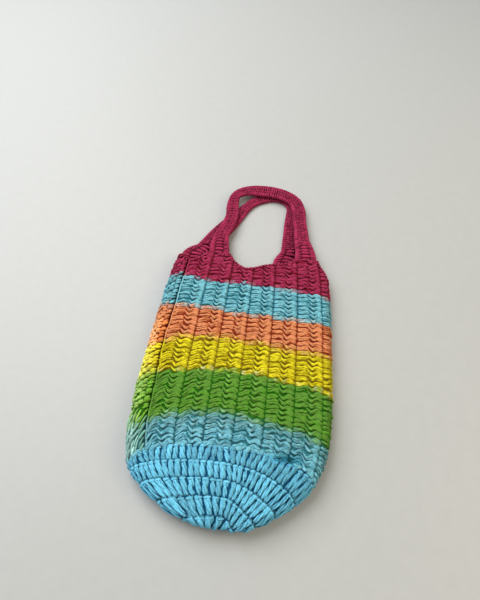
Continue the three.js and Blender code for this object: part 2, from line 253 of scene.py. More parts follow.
RIGHT_STITCH = np.array([
    (0.412, 0.82, 0.00, -1.2, 0.14, 1.6, 0.00, 0.70, 0.4),
    (0.437, 0.72, 0.00, 0.4, 0.18, 2.2, 0.03, 0.95, 0.35),
    (0.470, 0.54, 0.00, 0.8, 0.21, 2.6, 0.04, 1.05, 0.3),
    (0.500, 0.37, 0.00, 1.0, 0.24, 2.8, 0.05, 1.08, 0.3),
    (0.530, 0.21, 0.00, 1.2, 0.27, 2.9, 0.06, 1.12, 0.3),
    (0.560, 0.08, 0.00, 1.4, 0.30, 3.0, 0.07, 1.16, 0.3),
    (0.590, 0.00, 0.00, 1.5, 0.31, 3.0, 0.08, 1.18, 0.3),
    (0.620, 0.03, 0.00, 1.3, 0.31, 3.0, 0.10, 1.12, 0.35),
    (0.650, 0.13, 0.02, 0.9, 0.31, 3.0, 0.12, 1.03, 0.5),
    (0.685, 0.26, 0.05, 0.5, 0.31, 2.9, 0.15, 0.99, 0.55),
    (0.730, 0.37, 0.08, 0.4, 0.33, 2.8, 0.18, 0.99, 0.65),
    (0.780, 0.40, 0.08, 0.5, 0.36, 2.8, 0.20, 1.01, 0.75),
    (0.830, 0.32, 0.06, 0.5, 0.38, 2.8, 0.22, 1.01, 0.92),
    (0.880, 0.22, 0.04, 0.4, 0.38, 2.8, 0.22, 1.00, 0.92),
    (0.930, 0.15, 0.04, 0.1, 0.34, 2.7, 0.20, 0.98, 0.85),
    (0.955, 0.12, 0.04, -0.4, 0.27, 2.5, 0.14, 0.87, 0.65),
    (0.972, 0.10, 0.04, -2.4, 0.20, 2.0, 0.06, 0.50, 0.5),
], float)

# Heights where the colours change, by the place across the front
BAND_EDGES = np.array([
    (-152, 123, 208, 261, 348, 415),
    (-116, 138, 220, 284, 350, 418),
    (-60, 154, 228, 289, 349, 411),
    (-16, 157, 231, 289, 344, 411),
    (28, 152, 227, 287, 343, 410),
    (73, 145, 220, 281, 340, 407),
    (118, 139, 217, 278, 340, 402),
    (152, 124, 204, 274, 336, 393),
], float)

# Yarn colours up the wall, in screen colours
BAND_COLOURS = ["6da2a7", "629434", "d0c11a", "d28458", "70b0bc", "9a2a4e"]
BAND_BLENDS = [8.0, 4.5, 10.0, 5.0, 4.0]  # half height over which each colour turns into the next
SIDE_BLENDS = [14.0, 16.0, 6.0, 8.0, 7.0]  # and round the left side
SIDE_X = (-128.0, -146.0)  # where the front turns into the left side
BACK_Z = (6.0, 26.0)  # where the back turns into the front
PALE_SHARES = [0.1, 0.3, 0.1, 0.42, 0.38]  # how much undyed yarn shows at each change
PALE_REACH = 4.0  # how far above and below it
BASE_COLOUR = "70c5e3"
LAST_ROUND = 0.9  # painted shade: how bright the outermost round is
HANDLE_COLOUR = "9e294e"
PALE = "d2d2c6"  # yarn that took no dye
SIDE_TINT = "d2d694"  # what the left side fades towards low down
SIDE_FADE = 0.17  # how far it fades
SIDE_LIGHT = 1.58  # how much brighter it is there
SIDE_FADE_AND_SHADE_Y = (340.0, 290.0)  # the fade, and the painted shade beside the fold, start between these
SIDE_JAG = 4.0  # how unevenly its colours change
RICHNESS = 2.1  # how much richer a colour grows in painted shade
LOW_CREVICE = 0.6  # light left in crevices low down, against higher up


def linear(screen_colour):
    """A screen colour as linear light"""
    part = np.array([int(screen_colour[i:i + 2], 16) for i in (0, 2, 4)]) / 255
    return np.where(part <= 0.04045, part / 12.92, ((part + 0.055) / 1.055) ** 2.4)


def smooth_read(places, values, at):
    """Values read between their places, on a smooth curve that never overshoots one"""
    lengths = np.diff(places)
    secants = np.diff(values) / lengths
    before = np.concatenate([secants[:1], secants])
    after = np.concatenate([secants, secants[-1:]])
    same_way = before * after > 0
    slopes = np.where(same_way, 2 * before * after / np.where(same_way, before + after, 1), 0)
    span = np.clip(np.searchsorted(places, at, side="right") - 1, 0, len(lengths) - 1)
    t = np.clip((at - places[span]) / lengths[span], 0, 1)
    bend = (1 - t) * slopes[span] - t * slopes[span + 1] + (2 * t - 1) * secants[span]
    return values[span] + t * (values[span + 1] - values[span]) + t * (1 - t) * lengths[span] * bend


def unit(vectors):
    return vectors / np.maximum(np.linalg.norm(vectors, axis=-1, keepdims=True), 1e-9)


def blend(a, b, t):
    return a + (b - a) * t


def soft_step(low, high, at):
    """0 at low, 1 at high, and smooth between them"""
    t = np.clip((at - low) / (high - low), 0, 1)
    return t * t * (3 - 2 * t)


def swell(wave, share):
    """How a short stitch swells towards its middle: a share of a half circle"""
    return np.sqrt(1 - (share * wave) ** 2)


def distances(line):
    """The distance along a line of points, from its first"""
    return np.concatenate([[0], np.cumsum(np.linalg.norm(np.diff(line, axis=0), axis=1))])


# The wall's surface

def wall_point(y, share, sunk):
    """Points of the wall at a height, a share of the way round it, and sunk below its outer face"""
    y, share, sunk = np.broadcast_arrays(np.asarray(y, float), share, sunk)
    heights, *columns = WALL_SECTIONS.T
    left, right, edge, crown = (smooth_read(heights, column, y) for column in columns)
    radius = edge / 2
    flat = right - left - edge
    half_turn = math.pi * radius
    from_fold = share * RIBS - FOLD_COLUMN
    share = share - smooth_read(*FOLD_SHIFT.T, y) * np.exp(-(from_fold / FOLD_REACH) ** 2) / GIRTH
    ripple = np.sin(TURN * (share - FRONT_MIDDLE)) + math.sin(TURN * FRONT_MIDDLE)
    turned = np.mod(share - FRONT_SQUEEZE * ripple / TURN, 1)
    way = turned * 2 * (flat + half_turn) - (right - radius - FIRST_GROOVE_X)
    on_back = way - half_turn
    on_left = on_back - flat
    on_front = on_left - half_turn
    front_x = np.where(way < 0, right - radius + way, left + radius + on_front)
    from_middle = np.clip((2 * front_x - left - right) / flat, -1, 1)
    front_z = edge + (crown - edge) * (1 - from_middle ** 2) ** 2 - sunk
    places = [way < 0, on_back < 0, on_left < 0, on_front < 0]
    x = np.select(places, [
        front_x,
        right - radius + (radius - sunk) * np.sin(way / radius),
        right - radius - on_back,
        left + radius - (radius - sunk) * np.sin(on_left / radius),
    ], front_x)
    z = np.select(places, [
        front_z,
        radius + (radius - sunk) * np.cos(way / radius),
        sunk,
        radius - (radius - sunk) * np.cos(on_left / radius),
    ], front_z)
    return np.stack([x, y, z], axis=-1)


def outward(surface, first, share, sunk):
    """The direction out of a surface, given as surface(first, share, sunk)"""
    small = 1e-4
    around = surface(first, share + small, sunk) - surface(first, share - small, sunk)
    step = small * np.maximum(np.abs(first), 1)
    along = surface(first + step, share, sunk) - surface(first - step, share, sunk)
    return unit(np.cross(around, along))


def laid(surface, first, share, sunk):
    """Points of a surface, and the directions out of it there"""
    return surface(first, share, sunk), outward(surface, first, share, sunk)


def towards_side(share):
    """0 in the middle of the front or back, 1 at a side"""
    return 2 * np.abs(np.mod(2 * (share - FRONT_MIDDLE) + 0.5, 1) - 0.5)


def join_y(share):
    return JOIN_SIDE_Y + (JOIN_MIDDLE_Y - JOIN_SIDE_Y) * (1 - towards_side(share) ** JOIN_POWER)


def rim_y(share):
    return smooth_read(*RIM.T, np.mod(share, 1) * GIRTH)


def disc_place(round_count, share):
    """Where a place on the flat disc lies on the folded base: out from the fold, and round it"""
    angle = TURN * (share - FRONT_MIDDLE)
    reach = round_count / ROUNDS
    ahead = reach * np.cos(angle) - (1 - reach) * CENTRE_SHIFT / ROUNDS
    aside = reach * np.sin(angle) - (1 - reach) * SIDE_SHIFT / ROUNDS
    return np.hypot(ahead, aside), FRONT_MIDDLE + np.arctan2(aside, ahead) / TURN


def base_point(out, share, sunk):
    """Points of the folded base, from the fold, 0, out to the wall, 1"""
    out, share, sunk = np.broadcast_arrays(np.asarray(out, float), share, sunk)
    edge = wall_point(join_y(share), share, sunk)
    is_left = edge[..., 0] < FOLD[0]
    out = np.clip(out, 0, 1)
    side = towards_side(share) ** 2
    sideways = np.where(is_left, np.sin(out * TURN / 4), out)
    drawn = blend(out, sideways, side)
    outline = drawn ** (1 + np.where(is_left, *FULLNESS) * side)
    bulge = np.sqrt(drawn * (2 - drawn))
    return np.stack([
        blend(FOLD[0], edge[..., 0], sideways),
        blend(FOLD[1] + sunk, edge[..., 1], outline),
        blend(FOLD[2], edge[..., 2], bulge),
    ], axis=-1)


# Meshes

def place_of_bag():
    """Where the bag's own origin lies in the part's frame, in millimetres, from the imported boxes"""
    heights = np.linspace(110, 440, 67)
    shares = np.linspace(0, 1, 240, endpoint=False)
    x = wall_point(*np.meshgrid(heights, shares), 0.0)[..., 0]
    wall_low, wall_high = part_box("wall")
    base_low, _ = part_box("base")
    middle = (wall_low.x + wall_high.x) / 2 / METRE
    return np.array([middle - (x.min() + x.max()) / 2, base_low.y / METRE - FOLD[1], 0.0])


BAG_PLACE = place_of_bag()


def add_object(name, data):
    made = bpy.data.objects.new(name, data)
    bpy.context.scene.collection.objects.link(made)
    return made


def add_mesh(name, points, faces, colours, uv, material):
    """A smooth mesh that rides on the bag, with a colour at each point and a uv place at each face corner"""
    points = points.copy()
    from_tuck = np.hypot((points[:, 0] - TUCK_X) / TUCK_REACH[0], (points[:, 1] - TUCK_Y) / TUCK_REACH[1])
    tuck = (points[:, 2] > FRONT_Z) * np.exp(-0.5 * from_tuck ** 2)
    points[:, 2] -= TUCK_DEPTH * tuck
    # painted shade in the tuck's crease
    colours = deepen(colours, 1 - TUCK_SHADE * tuck[:, None])
    points[:, 2] = np.maximum(points[:, 2], FLOOR_CLEAR)
    mesh = bpy.data.meshes.new(name)
    mesh.from_pydata(((points + BAG_PLACE) * METRE).tolist(), [], faces)
    attribute = mesh.color_attributes.new("yarn", "FLOAT_COLOR", "POINT")
    opaque = np.concatenate([colours, np.ones((len(colours), 1))], axis=1)
    attribute.data.foreach_set("color", opaque.astype(np.float32).ravel())
    layer = mesh.uv_layers.new(name="yarn")
    layer.data.foreach_set("uv", uv.astype(np.float32).ravel())
    mesh.shade_smooth()
    mesh.materials.append(material)
    piece = add_object(name, mesh)
    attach(piece, "root")
    return piece


class Yarn:
    """Strands of yarn, gathered as closed tubes for one mesh: painted shade makes their sides darker than
    their tops
    """

    def __init__(self, sides=8, flatness=0.8):
        self.sides = sides
        self.flatness = flatness
        self.points, self.faces, self.colours, self.uv = [], [], [], []
        self.count = 0

    def add(self, paths, ups, wide, deep, colours, crevice=YARN_CREVICE):
        """Adds strands: paths and ups are (strands, steps, 3), and the half sizes, colours and light left in
        the crevices follow them"""
        strands, steps, _ = paths.shape
        sides = self.sides
        tangents = unit(np.gradient(paths, axis=1))
        across = unit(np.cross(tangents, ups))
        out = np.cross(across, tangents)
        angle = TURN * np.arange(sides) / sides
        aside = np.sign(np.cos(angle)) * np.abs(np.cos(angle)) ** self.flatness
        upward = np.sign(np.sin(angle)) * np.abs(np.sin(angle)) ** self.flatness
        wide, deep, dark = (np.broadcast_to(v, (strands, steps))[:, :, None] for v in (wide, deep, crevice))
        ring = (
            paths[:, :, None]
            + across[:, :, None] * (wide * aside)[..., None]
            + out[:, :, None] * (deep * upward)[..., None]
        )
        self.points.append(ring.reshape(-1, 3))
        shades = np.broadcast_to(colours, (strands, steps, 3))[:, :, None]
        # painted shade on each strand's sides, where it meets its neighbours
        light = blend(dark, 1.0, soft_step(-0.2, 0.8, np.sin(angle)))
        self.colours.append(deepen(shades, light[..., None]).reshape(-1, 3))
        start = self.count + sides * steps * np.arange(strands)[:, None, None]
        near = start + sides * np.arange(steps - 1)[None, :, None]
        far = near + sides
        side = np.arange(sides)[None, None, :]
        following = (side + 1) % sides
        corners = [near + side, far + side, far + following, near + following]
        self.faces.append(np.stack(corners, axis=-1).reshape(-1, 4))
        lengths = np.linalg.norm(np.diff(paths, axis=1), axis=2)
        length = np.concatenate([np.zeros((strands, 1)), np.cumsum(lengths, axis=1)], axis=1)
        low, high = length[:, :-1, None], length[:, 1:, None]
        left, right = side / sides, (side + 1) / sides
        corners = [(low, left), (high, left), (high, right), (low, right)]
        uv = [np.stack(np.broadcast_arrays(*corner), axis=-1) for corner in corners]
        self.uv.append(np.stack(uv, axis=3).reshape(-1, 2))
        first = np.arange(sides // 2 - 1)
        cap = np.stack([first, first + 1, sides - 2 - first, sides - 1 - first], axis=-1)
        near = start[:, 0] + cap.reshape(1, -1)
        far = start[:, 0] + sides * (steps - 1) + cap[:, ::-1].reshape(1, -1)
        caps = np.concatenate([near, far]).reshape(-1, 4)
        self.faces.append(caps)
        self.uv.append(np.zeros((len(caps) * 4, 2)))
        self.count += strands * steps * sides

    def make(self, name, material):
        parts = (self.points, self.faces, self.colours, self.uv)
        points, faces, colours, uv = (np.concatenate(part) for part in parts)
        return add_mesh(name, points, faces.tolist(), colours, uv, material)


def add_shell(name, rings, colours, material, poles=None):
    """A closed skin over a stack of rings: with no poles the last ring joins the first"""
    count, around, _ = rings.shape
    points = rings.reshape(-1, 3)
    shades = colours.reshape(-1, 3)
    lower = around * np.arange(count if poles is None else count - 1)[:, None]
    upper = (lower + around) % (count * around)
    i = np.arange(around)
    following = (i + 1) % around
    corners = [lower + i, lower + following, upper + following, upper + i]
    faces = np.stack(corners, axis=-1).reshape(-1, 4).tolist()
    if poles is not None:
        points = np.concatenate([points, poles])
        shades = np.concatenate([shades, shades[:1], shades[-1:]])
        first = count * around
        last = (count - 1) * around
        pairs = np.stack([i, following], axis=-1).tolist()
        faces += [(first, b, a) for a, b in pairs]
        faces += [(first + 1, last + a, last + b) for a, b in pairs]
    uv = np.zeros((sum(len(f) for f in faces), 2))
    return add_mesh(name, points, faces, shades, uv, material)


# Colours

def band_edges(points):
    """The heights where the colours change: measured across the front, and level on the back"""
    places, *heights = BAND_EDGES.T
    edges = np.stack([np.interp(points[..., 0], places, column) for column in heights], axis=-1)
    level = BAND_EDGES[:, 1:].mean(axis=0)
    return blend(level, edges, soft_step(*BACK_Z, points[..., 2])[..., None])


def band_colours(height, points, jag, flecks):
    """The yarn's colour at each point, from the height of its row, with undyed flecks"""
    edges = band_edges(points)
    palette = [linear(c) for c in BAND_COLOURS]
    colour = np.broadcast_to(palette[0], points.shape).copy()
    above = [height + jag - edges[..., i] for i in range(len(BAND_BLENDS))]
    at_side = soft_step(*SIDE_X, points[..., 0])
    for upper, front, side, past in zip(palette[1:], BAND_BLENDS, SIDE_BLENDS, above):
        reach = blend(front, side, at_side)
        colour = blend(colour, upper, soft_step(-reach, reach, past)[..., None])
    for share, past in zip(PALE_SHARES, above):
        pale = share * flecks * np.exp(-(past / PALE_REACH) ** 2)
        colour = blend(colour, linear(PALE), pale[..., None])
    return colour


def deepen(colours, light):
    """Colours where less light falls: richer too, as light in a crevice meets yarn more than once"""
    peak = colours.max(axis=-1, keepdims=True)
    return (colours / peak) ** (1 + RICHNESS * (1 - light)) * peak * light


def vary(shape, spread):
    """Random values about 1"""
    return 1 + spread * RANDOM.standard_normal(shape)


def stray(strands, spread):
    """Random values about 0, one for each strand"""
    return spread * RANDOM.standard_normal((strands, 1))


def wander(strands, places, knots):
    """Smooth random curves, one for each strand, read at places from 0 to 1"""
    at = np.linspace(0, 1, knots)
    return np.stack([smooth_read(at, values, places) for values in RANDOM.standard_normal((strands, knots))])


# Materials

def fill(node, values):
    """Sets a node's sockets by name, with _ for each space"""
    for socket, value in values.items():
        node.inputs[socket.replace("_", " ")].default_value = value


def new_material(name, **values):
    """A material with values in its shader, the shader, and ways to add a node and to join two nodes"""
    material = bpy.data.materials.new(name)
    material.use_nodes = True
    tree = material.node_tree
    shader = tree.nodes["Principled BSDF"]
    fill(shader, values)

    def node(kind, **values):
        made = tree.nodes.new(kind)
        fill(made, values)
        return made

    def join(source, output, target, socket):
        tree.links.new(source.outputs[output], target.inputs[socket])

    return material, shader, node, join


def yarn_material(name):
    """Dyed yarn: each point's colour and painted light, mottled, painted shade between twisted plies, fine
    fibres
    """
    material, shader, node, join = new_material(
        name, Roughness=0.82, Specular_IOR_Level=0.1, Sheen_Weight=0.03, Sheen_Roughness=0.5
    )
    dye_and_painted_light = node("ShaderNodeAttribute")
    dye_and_painted_light.attribute_name = "yarn"
    place = node("ShaderNodeTexCoord")
    mottle = node("ShaderNodeTexNoise", Scale=360.0, Detail=6.0, Roughness=0.75)
    join(place, "Object", mottle, "Vector")
    shade = node("ShaderNodeMapRange", From_Min=0.3, From_Max=0.7, To_Min=0.6, To_Max=1.26)
    join(mottle, "Fac", shade, "Value")
    along = node("ShaderNodeUVMap")
    along.uv_map = "yarn"
    turned = node("ShaderNodeMapping", Scale=(0.07, 3.77, 1.0))
    join(along, "UV", turned, "Vector")
    plies = node("ShaderNodeTexWave", Scale=1.0, Distortion=0.6, Detail=1.0)
    plies.wave_type = "BANDS"
    plies.bands_direction = "DIAGONAL"
    join(turned, "Vector", plies, "Vector")
    # painted shade in the furrows between the plies
    ply_shade = node("ShaderNodeMapRange", To_Min=0.8, To_Max=1.1)
    join(plies, "Fac", ply_shade, "Value")
    lightness = node("ShaderNodeMath")
    lightness.operation = "MULTIPLY"
    join(shade, "Result", lightness, 0)
    join(ply_shade, "Result", lightness, 1)
    mixed = node("ShaderNodeMix")
    mixed.data_type = "RGBA"
    mixed.blend_type = "MULTIPLY"
    mixed.inputs["Factor"].default_value = 1.0
    join(dye_and_painted_light, "Color", mixed, "A")
    join(lightness, "Value", mixed, "B")
    join(mixed, "Result", shader, "Base Color")

    fibres = node("ShaderNodeTexNoise", Scale=340.0, Detail=5.0, Roughness=0.7)
    join(place, "Object", fibres, "Vector")
    fine = node("ShaderNodeBump", Strength=1.0, Distance=0.002)
    join(fibres, "Fac", fine, "Height")
    twist = node("ShaderNodeBump", Strength=0.7, Distance=0.001)
    join(plies, "Fac", twist, "Height")
    join(fine, "Normal", twist, "Normal")
    join(twist, "Normal", shader, "Normal")
    return material


def floor_material():
    material, shader, node, join = new_material("pale_floor", Roughness=0.55)
    grain = node("ShaderNodeTexNoise", Scale=60.0)
    ramp = node("ShaderNodeValToRGB")
    ramp.color_ramp.elements[0].color = (0.38, 0.38, 0.365, 1)
    ramp.color_ramp.elements[1].color = (0.41, 0.41, 0.395, 1)
    place = node("ShaderNodeTexCoord")
    join(place, "Object", grain, "Vector")
    join(grain, "Fac", ramp, "Fac")
    join(ramp, "Color", shader, "Base Color")
    return material


# The wall's stitches

def row_heights(column, share):
    """The height and pitch of each row of a rib, at places round the wall"""
    middle = (column + 0.5) / RIBS
    below = round((STRAIGHT_ROWS_Y - float(join_y(middle))) / LOW_PITCH)
    above = math.ceil((SHOULDER_Y - STRAIGHT_ROWS_Y) / ROW_PITCH)
    row = np.arange(below + above)[:, None]
    low = join_y(share)
    pitch = np.where(row < below, (STRAIGHT_ROWS_Y - low) / below, ROW_PITCH)
    start = np.where(row < below, low, STRAIGHT_ROWS_Y - below * ROW_PITCH)
    return start + (row + 0.5) * pitch, pitch


def row_lean(column, height):
    """How far the rows of a rib lean: most at the left of the bag and low on it"""
    x = wall_point(300.0, (column + 0.5) / RIBS, 0.0)[0]
    return np.interp(x, *LEAN_ACROSS) * np.interp(height, *LEAN_UP)


def wall_stitches(yarn, column, table):
    """The stitches of one rib, one for each row, each of two plies"""
    across, rise, leaning, lift, tall, deep, part, painted_light, crevice = table.T
    share = (column + across) / RIBS
    height, pitch = row_heights(column, share)
    count = len(height)
    top = rim_y(share) - RIM_CLEAR
    keep = (height < top).mean(axis=1) > ROW_SHOWN
    lean = row_lean(column, height)
    rise = rise - ROW_DROP + leaning * lean
    part = part * (1 + LEAN_PART * lean)
    slope = np.gradient(rise, axis=1) / np.gradient(across) * pitch * RIBS / GIRTH
    low = soft_step(*LOW_Y, height)
    from_join = height - join_y(share)
    by_join = JOIN_BLUE * soft_step(*JOIN_BLUE_REACH, from_join)
    at_top = soft_step(*TOP_Y, height)
    uneven = 1 + TOP_UNEVEN * at_top + LOW_UNEVEN * low + soft_step(*UNEVEN_REACH, from_join)
    crevice = crevice * blend(1, LOW_CREVICE, low)
    aside = stray(count, HOOK_STRAY) + HOOK_SHIFT * soft_step(*HOOK_SHIFT_Y, height)
    aside = aside * np.sin(math.pi * across) / GIRTH
    drift = stray(count, ROW_STRAY) + ROW_STRAY * uneven * wander(count, across, 7)
    jag = stray(count, BAND_JAG[0]) + BAND_JAG[1] * wander(count, across, 6)
    flecks = soft_step(0.1, 1.2, wander(count, across, 14))
    twist = PLY_TWIST * wander(count, across, 4)
    for ply in (-1, 1):
        y = height + pitch * (rise + drift + ply * part * np.cos(twist) + 0.03 * wander(count, across, 10))
        y = np.minimum(y, top)
        size = vary((count, 1), 0.05) + 0.1 * wander(count, across, 11)
        bumps = ROW_BUMPS * uneven * wander(count, across, 12)
        sunk = CORE_SUNK + ROW_SUNK - lift - ply * PLY_LIFT * np.sin(twist) - bumps
        paths, ups = laid(wall_point, y, share + aside, sunk)
        # painted shade at the grooves and under the hooks, a painted highlight at each hook's bottom, with
        # random tone
        shade = painted_light * (vary((count, 1), 0.05) + 0.06 * wander(count, across, 9))
        dyed = band_colours(height + 0.7 * pitch * rise, paths, jag, flecks)
        dyed = blend(dyed, linear(BASE_COLOUR), by_join[..., None])
        colours = deepen(dyed, np.minimum(shade, 1)[..., None]) * np.maximum(shade, 1)[..., None]
        half = tall * pitch * size / np.hypot(1, slope)
        yarn.add(paths[keep], ups[keep], half[keep], (deep * size)[keep], colours[keep], crevice[keep])


def wall_ends(place):
    """The heights between which the wall is worked, at a place counted in ribs"""
    return float(join_y(place / RIBS)), float(rim_y(place / RIBS)) - RIM_CLEAR


def wall_knots(yarn, place, pitch, first, form, low, high, painted_light):
    """A lengthwise row of short slanted stitches on the wall, between two heights"""
    along, up, half_wide, half_deep = form
    bend = swell(WAVE, 0.93)
    count = int((high - low) / pitch - first)
    centre = low + (np.arange(count)[:, None] + 0.5 + first) * pitch + stray(count, 0.5)
    size = vary((count, 1), 0.2)
    y = centre + up * WAVE * vary((count, 1), 0.2)
    share = place / RIBS + (along * WAVE * vary((count, 1), 0.2) + stray(count, 0.6)) / GIRTH
    sunk = CORE_SUNK + 1.0 - 1.8 * bend + stray(count, 0.4)
    paths, ups = laid(wall_point, y, share, sunk)
    flecks = 0.5 * soft_step(-0.2, 1.2, wander(count, (WAVE + 1) / 2, 3))
    dyed = band_colours(centre, paths, stray(count, SIDE_JAG), flecks)
    fade_and_shade = soft_step(*SIDE_FADE_AND_SHADE_Y, centre)[..., None]
    faded = blend(dyed, linear(SIDE_TINT), SIDE_FADE * fade_and_shade)
    colours = blend(1, SIDE_LIGHT, fade_and_shade) * faded * vary((count, 1, 1), 0.14)
    # painted shade on the knots beside the fold, low down
    colours = deepen(colours, blend(1, painted_light, fade_and_shade))
    wide = (0.5 + half_wide * bend) * size
    deep = (0.5 + half_deep * bend) * size
    yarn.add(paths, ups, wide, deep, colours, KNOT_CREVICE)


def make_side(yarn):
    """Staggered knots round the left side, with slanted strands below them"""
    for number, across in enumerate(KNOT_PLACES):
        place = SIDE_COLUMN + across
        low, high = wall_ends(place)
        turn = 0.5 * (number % 2)
        # painted shade, growing towards the fold
        painted_light = blend(1.0, FOLD_SHADE, float(soft_step(*FOLD_SHADE_REACH, across)))
        for first in (turn, turn + KNOT_SPLIT):
            wall_knots(yarn, place, KNOT_PITCH, first, KNOT_FORM, SLANT_TOP, high, painted_light)
        wall_knots(yarn, place, ROW_PITCH, turn, SLANT_FORM, low, SLANT_TOP, painted_light)


def make_fold(yarn):
    """A thin cord down the left of the front, beside the fold"""
    place = FOLD_COLUMN + CORD_PLACE
    low, high = wall_ends(place)
    steps = np.linspace(0, 1, CORD_STEPS)
    y = blend(low, high, steps)[None, :]
    share = place / RIBS + 0.7 * wander(1, steps, 40) / GIRTH
    sunk = CORD_SUNK + 0.3 * wander(1, steps, 40)
    paths, ups = laid(wall_point, y, share, sunk)
    colours = band_colours(y, paths, 0.0, CORD_PALE)
    yarn.add(paths, ups, CORD_RADIUS + 0.3 * wander(1, steps, 50), CORD_RADIUS, colours)


def make_wall(material):
    pieces = []
    for name, columns in WALL_PIECES.items():
        yarn = Yarn(6, 0.62)
        for column in range(*columns):
            wall_stitches(yarn, column, LEFT_STITCH)
            wall_stitches(yarn, column, RIGHT_STITCH)
        pieces.append(yarn.make("wall_" + name, material))
    yarn = Yarn()
    make_side(yarn)
    make_fold(yarn)
    return [*pieces, yarn.make("wall_side", material)]


def make_wall_web(material):
    around, up = WALL_WEB_POINTS
    shares = np.linspace(0, 1, around, endpoint=False)
    rows = np.linspace(0, 1, up)[:, None]
    height = blend(join_y(shares), rim_y(shares) - RIM_CLEAR, rows)
    from_fold = np.abs(shares * RIBS - FOLD_COLUMN)
    middle = CORE_SUNK + FOLD_DEPTH * (1 - soft_step(0.0, FOLD_WIDTH, from_fold))
    outer, inner = (wall_point(height, shares, middle + side * BACKING / 2) for side in (-1, 1))
    rings = np.concatenate([outer, inner[::-1]])
    heights = np.concatenate([height, height[::-1]])
    from_groove = np.abs(np.mod(shares * RIBS + 0.5, 1) - 0.5)
    in_rib = soft_step(*GROOVE_REACH, from_groove)
    # painted shade on the web: darker in the grooves, less dark low on the ribs
    shade = WEB_SHADE * (blend(GROOVE_SHADE, 1.0, in_rib) + LOW_WEB * in_rib * soft_step(*LOW_WEB_Y, heights))
    colours = deepen(band_colours(heights, rings, 0.0, 0.0), shade[..., None])
    return add_shell("wall_web", rings, colours, material)


# The base's stitches

def disc_point(round_count, share, sunk):
    """Points of the base, by the round and the way round on the flat disc"""
    return base_point(*disc_place(round_count, share), sunk)


def ring_waves(places, waves):
    """A smooth random curve that closes on itself, read at places from 0 to 1"""
    angle = TURN * places[:, None] * np.arange(1, waves + 1)
    along, across = RANDOM.standard_normal((2, waves))
    return (along * np.cos(angle) + across * np.sin(angle)).sum(axis=1) / math.sqrt(waves)


def fold_push(round_count, share):
    """How far the stitches stand out more where the base is folded"""
    out, at = disc_place(round_count, share)
    return FOLD_PUSH * towards_side(at) ** 2 * np.sqrt(np.clip(1 - out, 0, 1))


def base_posts(yarn, round_number):
    """Tall stitches of one round, each of plies that twist round each other, with a short head across"""
    count = POSTS[round_number]
    t = 0.5 - 0.5 * np.cos(math.pi * np.linspace(0, 1, POST_STEPS))
    order = np.arange(count) / count
    middle = order[:, None] + (0.5 + stray(count, 0.04)) / count
    together = POST_LEAN[0] * ring_waves(order, 3 + 2 * round_number)[:, None]
    lean = (together + stray(count, POST_LEAN[1])) / count
    reach = round_number + POST_SPAN[0] + POST_SPAN[1] * t + stray(count, 0.006)
    reach = np.clip(reach, 0.02, ROUNDS)
    small = 1e-3
    metric = disc_point(reach, middle + small, CORE_SUNK) - disc_point(reach, middle - small, CORE_SUNK)
    spacing = np.linalg.norm(metric, axis=-1) / (2 * small) / count
    fullness = np.sin(math.pi * blend(0.03, 0.97, t)) ** 0.17
    size = vary((count, 1), 0.1) + 0.1 * wander(count, t, 5)
    sway = POST_SWAY * wander(count, t, 4)
    # painted shade on the outermost round
    outer = LAST_ROUND if round_number == ROUNDS - 1 else 1.0
    colour = outer * linear(BASE_COLOUR) * vary((count, 1, 1), 0.05)
    # painted shade at each post's ends, in the gaps between rounds
    painted_light = blend(0.6, 1.0, soft_step(0.0, 0.05, np.minimum(t, 1 - t)))[:, None]
    start = stray(count, 0.15)
    for ply in range(POST_PLIES):
        phase = TURN * (ply / POST_PLIES + POST_TWIST * t + start)
        share = middle + lean * (t - 0.5) + (sway + POST_PART[0] * np.cos(phase)) / count
        lift = POST_PART[1] * np.sin(phase)
        sunk = CORE_SUNK + POST_SUNK - lift + 4.0 * (1 - fullness) - fold_push(reach, share)
        paths, ups = laid(disc_point, reach, share, sunk)
        wide = POST_HALF[0] * spacing * fullness ** 0.4 * size
        yarn.add(paths, ups, wide, POST_HALF[1] * fullness * size, colour * painted_light, POST_CREVICE)
    bend = swell(WAVE, 0.94)
    share = middle + lean * 0.4 + 0.4 * WAVE / count
    rung = round_number + HEAD_PLACE + 0.02 * WAVE + stray(count, 0.006)
    sunk = CORE_SUNK + 1.0 - 2.2 * bend - fold_push(rung, share)
    paths, ups = laid(disc_point, rung, share, sunk)
    wide = (0.5 + 1.8 * bend) * size[:, :1]
    deep = (0.6 + 1.5 * bend) * size[:, :1]
    yarn.add(paths, ups, wide, deep, colour, HEAD_CREVICE)


def join_ridge(yarn):
    """Small uneven knots where the wall is worked onto the base"""
    count = JOIN_KNOTS
    share = (np.arange(count)[:, None] + 0.5 + 0.62 * WAVE + stray(count, 0.12)) / count
    bend = swell(WAVE, 0.94)
    tilt = (1.2 + stray(count, 1.6)) * WAVE
    height = join_y(share) + 1.0 + tilt + stray(count, 1.3)
    sunk = CORE_SUNK + 2.0 - 2.4 * bend + stray(count, 0.8)
    paths, ups = laid(wall_point, height, share, sunk)
    size = vary((count, 1), 0.14)
    colour = blend(linear(BAND_COLOURS[0]), linear(BASE_COLOUR), JOIN_BLUE) * vary((count, 1, 1), 0.12)
    yarn.add(paths, ups, (0.6 + 2.6 * bend) * size, (0.6 + 2.4 * bend) * size, colour, JOIN_CREVICE)


def make_base(material):
    yarn = Yarn(8, 0.6)
    for round_number in range(ROUNDS):
        base_posts(yarn, round_number)
    join_ridge(yarn)
    return yarn.make("base_stitches", material)


def make_base_web(material):
    around, out = BASE_WEB_POINTS
    shares = np.linspace(0, 1, around, endpoint=False)
    rows = np.linspace(BASE_WEB_START, 1, out)[:, None]
    both = (CORE_SUNK - BACKING / 2, CORE_SUNK + BACKING / 2)
    outer, inner = (base_point(rows, shares, sunk) for sunk in both)
    rings = np.concatenate([outer, inner[::-1]])
    poles = np.array([base_point(0.0, 0.0, sunk) for sunk in both])
    # painted shade on the web behind the stitches
    colours = np.broadcast_to(deepen(linear(BASE_COLOUR), BASE_WEB_SHADE), rings.shape)
    return add_shell("base_web", rings, colours, material, poles)


# The handles

